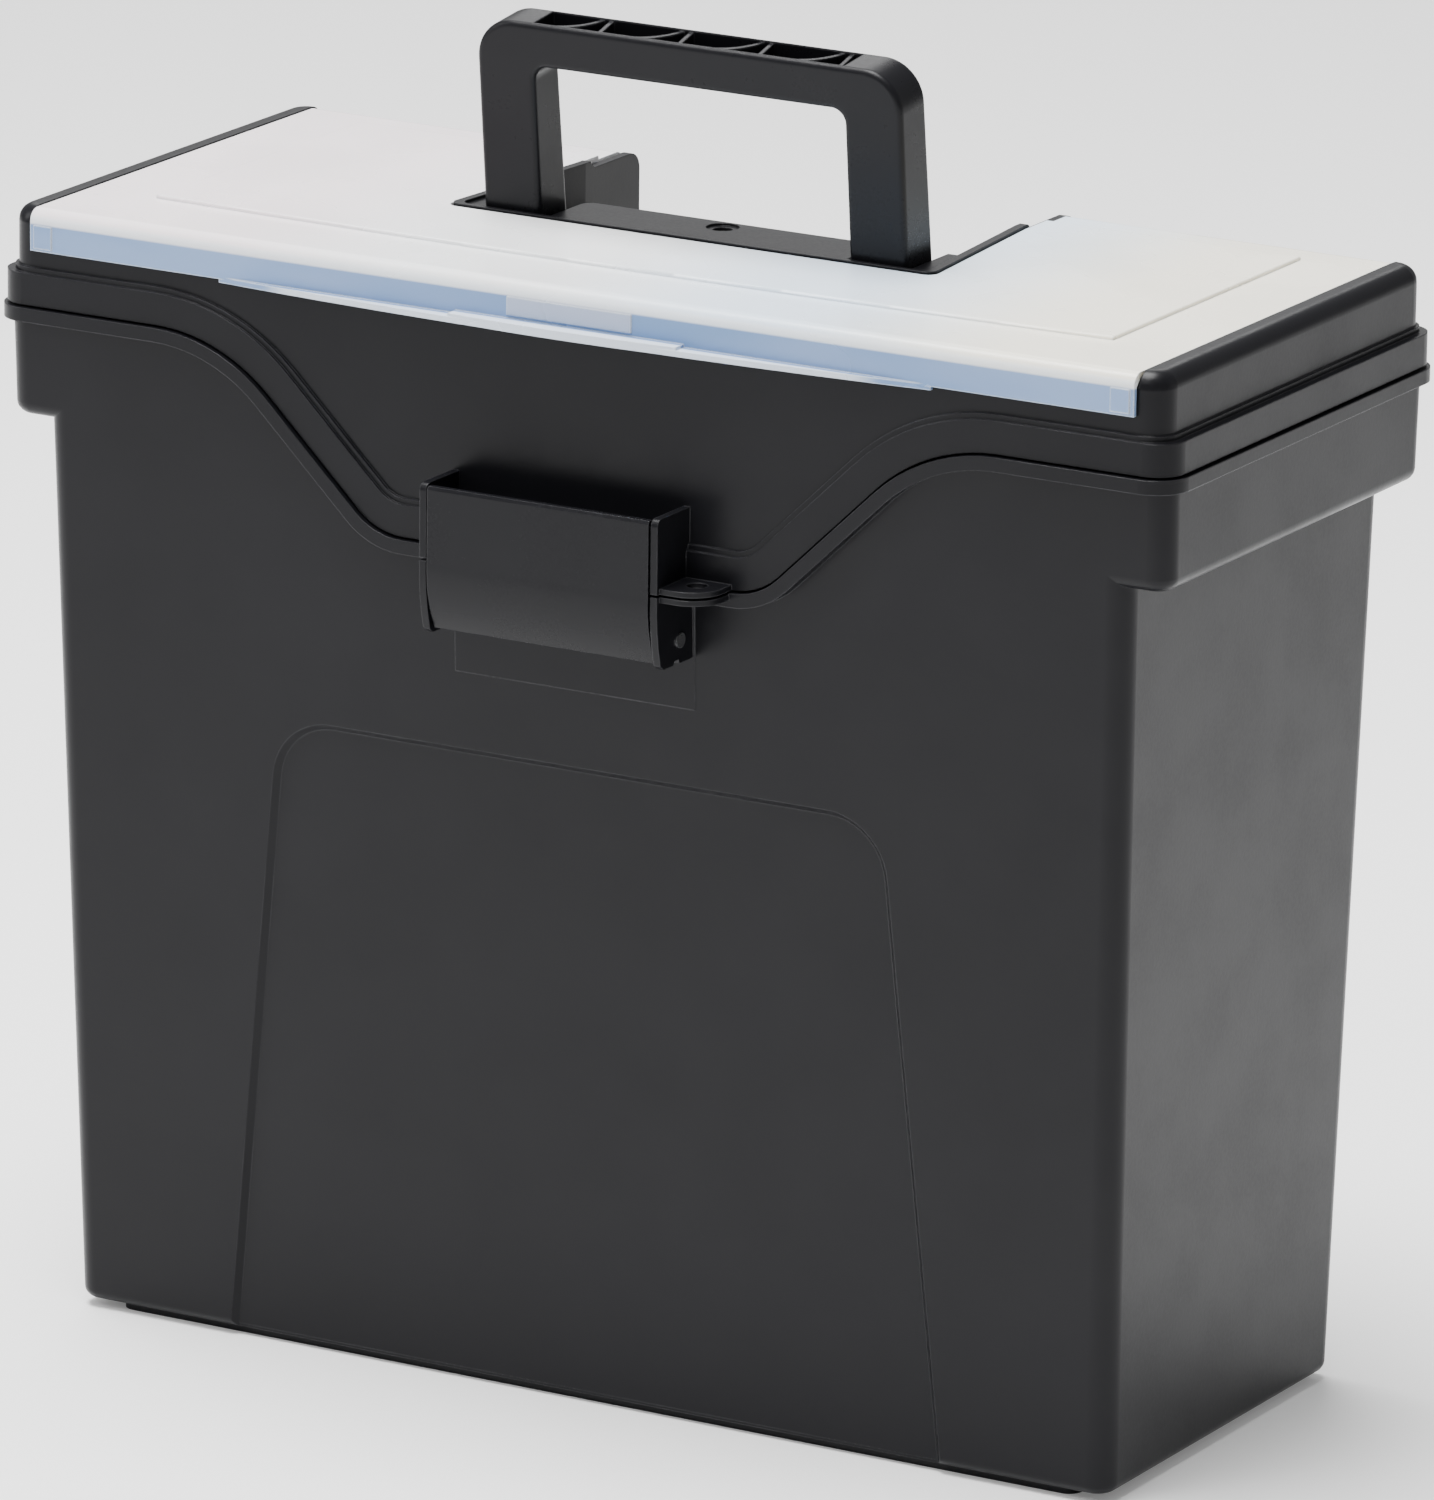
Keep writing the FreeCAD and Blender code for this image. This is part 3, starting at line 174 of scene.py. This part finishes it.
def mouldedPlastic(name, look):
    material, tree, shader = newMaterial(name)
    surface = add(tree, "ShaderNodeGroup", node_tree=mouldedSurface)
    for socketName, key in (("Color", "color"), ("Painted Edge Highlight", "edge"), ("Roughness", "roughness"),
                            ("Grain", "grain"), ("Edge Radius", "edgeRadius")):
        surface.inputs[socketName].default_value = look[key]
    tree.links.new(surface.outputs["Color"], shader.inputs["Base Color"])
    tree.links.new(surface.outputs["Roughness"], shader.inputs["Roughness"])
    tree.links.new(surface.outputs["Normal"], shader.inputs["Normal"])
    shader.inputs["IOR"].default_value = look["ior"]
    shader.inputs["Specular IOR Level"].default_value = look["specular"]
    material.diffuse_color = look["color"]
    return material


# edge: colour of the painted highlight along the rounded edges
blackLook = {"color": (0.0060, 0.0060, 0.0074, 1), "edge": (0.060, 0.060, 0.065, 1), "roughness": 0.33,
             "grain": 0.28, "edgeRadius": 0.0005, "ior": 1.49, "specular": 0.16}
handleLook = dict(blackLook, roughness=0.30, grain=0.18, edgeRadius=0.0009)
latchLook = dict(blackLook, roughness=0.26, grain=0.18, edgeRadius=0.0004)
black = mouldedPlastic("blackPlastic", blackLook)
handleBlack = mouldedPlastic("handlePlastic", handleLook)
latchBlack = mouldedPlastic("latchPlastic", latchLook)
print("black plastic ready")

coverLook = {
    "top": (0.93, 0.94, 0.95, 1), "warm": (0.98, 0.94, 0.82, 1), "cool": (0.76, 0.87, 0.99, 1),
    "rose": (0.96, 0.88, 0.90, 1), "flap": (0.17, 0.30, 0.55, 1), "flapLight": (0.30, 0.42, 0.66, 1),
    "catch": (0.62, 0.64, 0.72, 1), "edge": (0.90, 0.95, 1.0, 1),
    "roughness": 0.26, "uneven": 0.05, "transmission": 0.18, "ior": 1.46,
    # noises: scale, detail, roughness
    "haze": (22.0, 3.0, 0.5), "milk": (1.0, 2.0, 0.5), "fine": (1800.0, 2.0, 0.6),
    "milkStretch": (12.0, 60.0, 60.0), "milkBands": (0.35, 0.62, 0.0, 0.55),
    # metres along X over which each tint of the top sets in or ends
    "warmFrom": (0.06, 0.13), "coolFrom": (-0.02, 0.05), "roseUntil": (-0.11, -0.05),
    # metres: heights of the bend between top and flap and of its glow, depth of the lip, size of the catch
    "bendHeight": 0.3006, "bendBlend": 0.0010, "bendRise": (0.2996, 0.3004), "bendFall": (0.3014, 0.3026),
    "lipDepth": -0.0746, "lipBlend": 0.0008, "catchHalf": (0.0184, 0.0186), "catchTop": (0.2948, 0.2950),
    "bendGlow": 0.8, "lipGlow": 0.75, "edgeGlow": 0.9, "catchTint": 0.55,
    "edgeRadius": 0.0006, "fullMaskAt": 0.85, "bump": (0.15, 0.00005),
}


def frostedPlastic():
    look = coverLook
    material, tree, shader = newMaterial("frostedPlastic")
    place = add(tree, "ShaderNodeTexCoord").outputs["Object"]
    axes = add(tree, "ShaderNodeSeparateXYZ")
    tree.links.new(place, axes.inputs[0])
    sideways, depth, height = axes.outputs
    haze = noise(tree, place, *look["haze"])
    milk = noise(tree, stretched(tree, place, look["milkStretch"]), *look["milk"])
    fine = noise(tree, place, *look["fine"])

    # the milky colour drifts across the top
    top = mixColor(tree, remap(tree, sideways, *look["roseUntil"], 1.0, 0.0), look["top"], look["rose"])
    top = mixColor(tree, remap(tree, sideways, *look["coolFrom"], 0.0, 1.0), top, look["cool"])
    top = mixColor(tree, remap(tree, sideways, *look["warmFrom"], 0.0, 1.0), top, look["warm"])

    # the thin flap lets the dark lid through in uneven bands, and the catch is a paler patch
    flap = mixColor(tree, remap(tree, milk, *look["milkBands"]), look["flap"], look["flapLight"])
    across = remap(tree, mathNode(tree, "ABSOLUTE", sideways), *look["catchHalf"], look["catchTint"], 0.0)
    catch = mathNode(tree, "MULTIPLY", across, remap(tree, height, *look["catchTop"], 0.0, 1.0))
    flap = mixColor(tree, catch, flap, look["catch"])
    bend = look["bendHeight"]
    color = mixColor(tree, remap(tree, height, bend - look["bendBlend"], bend, 1.0, 0.0), top, flap)

    # light gathers in the bend, in the finger lip and along every edge
    normal, mask = addSoftEdges(tree, look["edgeRadius"], look["fullMaskAt"])
    edge = mathNode(tree, "MULTIPLY", mask, look["edgeGlow"])
    lip = remap(tree, depth, look["lipDepth"], look["lipDepth"] - look["lipBlend"], 0.0, look["lipGlow"])
    glow = mathNode(tree, "MULTIPLY", remap(tree, height, *look["bendRise"], 0.0, look["bendGlow"]),
                    remap(tree, height, *look["bendFall"], 1.0, 0.0))
    gathered = mathNode(tree, "MAXIMUM", mathNode(tree, "MAXIMUM", edge, lip), glow)
    tree.links.new(mixColor(tree, gathered, color, look["edge"]), shader.inputs["Base Color"])

    uneven = remap(tree, haze, 0.3, 0.7, -look["uneven"], look["uneven"])
    tree.links.new(mathNode(tree, "ADD", uneven, look["roughness"]), shader.inputs["Roughness"])
    tree.links.new(bumped(tree, fine, *look["bump"], normal), shader.inputs["Normal"])
    shader.inputs["Transmission Weight"].default_value = look["transmission"]
    shader.inputs["IOR"].default_value = look["ior"]
    return material


frosted = frostedPlastic()
print("cover ready")

steelLook = {
    "color": (0.42, 0.42, 0.43, 1), "stain": (0.26, 0.25, 0.24, 1), "roughness": 0.34, "uneven": 0.08,
    "drawn": (0.05, 1.0, 1.0), "lines": (3200.0, 3.0, 0.6),
    "blotch": (60.0, 3.0, 0.5), "stained": (0.4, 0.7, 0.0, 0.6), "bump": (0.3, 0.00003),
}


def drawnSteel():
    look = steelLook
    material, tree, shader = newMaterial("drawnSteel")
    place = add(tree, "ShaderNodeTexCoord").outputs["Object"]
    lines = noise(tree, stretched(tree, place, look["drawn"]), *look["lines"])
    stained = remap(tree, noise(tree, place, *look["blotch"]), *look["stained"])
    tree.links.new(mixColor(tree, stained, look["color"], look["stain"]), shader.inputs["Base Color"])
    uneven = remap(tree, lines, 0.3, 0.7, -look["uneven"], look["uneven"])
    tree.links.new(mathNode(tree, "ADD", uneven, look["roughness"]), shader.inputs["Roughness"])
    tree.links.new(bumped(tree, lines, *look["bump"]), shader.inputs["Normal"])
    shader.inputs["Metallic"].default_value = 1.0
    return material


steel = drawnSteel()
print("steel ready")

finishes = {"bin_shell": black, "lid_shell": black, "handle_bridge_cap": black, "carry_handle": handleBlack,
            "front_latch": latchBlack, "organiser_cover": frosted}
for name, node in nodes.items():
    finish = finishes.get(name, steel)    # the pins and the screw are steel
    for holder in node.material_slots:
        holder.material = finish
print("materials on", len(nodes), "nodes")

floorLook = {"half": 6.0, "color": (0.96, 0.96, 0.96, 1), "roughness": 0.8, "glow": 0.15}


def makeFloor():
    half = floorLook["half"]
    corners = [(-half, -half, 0), (half, -half, 0), (half, half, 0), (-half, half, 0)]
    mesh = bpy.data.meshes.new("floor")
    mesh.from_pydata(corners, [], [(0, 1, 2, 3)])
    floor = bpy.data.objects.new("floor", mesh)
    scene.collection.objects.link(floor)
    material, tree, shader = newMaterial("floorPaint")
    shader.inputs["Base Color"].default_value = floorLook["color"]
    shader.inputs["Roughness"].default_value = floorLook["roughness"]
    shader.inputs["Emission Color"].default_value = (1.0, 1.0, 1.0, 1)
    shader.inputs["Emission Strength"].default_value = floorLook["glow"]
    mesh.materials.append(material)


lightLook = (
    # name, place, target, size x, size y, power
    ("overhead", (-0.3, -0.15, 2.3), (0.0, 0.0, 0.2), 1.7, 1.2, 150.0),
    ("frontLeft", (-2.0, -1.1, 1.3), (0.0, 0.0, 0.17), 0.5, 1.6, 20.0),
    ("frontTop", (-0.3, -2.0, 2.0), (0.0, 0.0, 0.20), 1.6, 0.4, 10.0),
    ("sideRight", (2.1, 0.9, 0.8), (0.0, 0.0, 0.17), 0.35, 1.4, 1.5),
    ("behind", (-1.3, 2.2, 1.7), (0.0, 0.0, 0.25), 1.7, 0.8, 14.0),
)
worldLook = {"light": 0.34, "backdrop": 3.2}    # strength as light, and as the backdrop behind the object


def makeLights():
    for name, place, target, sizeX, sizeY, power in lightLook:
        lamp = bpy.data.lights.new(name, "AREA")
        lamp.shape = "RECTANGLE"
        lamp.size = sizeX
        lamp.size_y = sizeY
        lamp.energy = power
        holder = bpy.data.objects.new(name, lamp)
        holder.location = place
        holder.rotation_euler = (Vector(target) - Vector(place)).to_track_quat("-Z", "Y").to_euler()
        scene.collection.objects.link(holder)
    world = bpy.data.worlds.new("studio")
    world.use_nodes = True
    tree = world.node_tree
    sky = tree.nodes["Background"]
    sky.inputs["Color"].default_value = (1.0, 1.0, 1.0, 1)
    seen = add(tree, "ShaderNodeLightPath").outputs["Is Camera Ray"]
    strength = remap(tree, seen, 0.0, 1.0, worldLook["light"], worldLook["backdrop"])
    tree.links.new(strength, sky.inputs["Strength"])
    scene.world = world


cameraLook = {"place": (1.631224, -2.837822, 1.089643), "right": (0.86568517, 0.50045512, 0.01156977),
              "up": (-0.1458677, 0.23007721, 0.9621783), "forward": (-0.47886512, 0.83463114, -0.27217467),
              "lens": 309.51, "sensor": 36.0, "clip": (0.05, 50.0)}


def makeCamera():
    lens = bpy.data.cameras.new("camera")
    lens.lens = cameraLook["lens"]
    lens.sensor_width = cameraLook["sensor"]
    lens.sensor_fit = "AUTO"
    lens.clip_start, lens.clip_end = cameraLook["clip"]
    holder = bpy.data.objects.new("camera", lens)
    right, up, forward = (Vector(cameraLook[key]) for key in ("right", "up", "forward"))
    turn = Matrix((right, up, -forward)).transposed()
    holder.matrix_world = Matrix.Translation(cameraLook["place"]) @ turn.to_4x4()
    scene.collection.objects.link(holder)
    scene.camera = holder


makeFloor()
makeLights()
makeCamera()
print("stage ready")
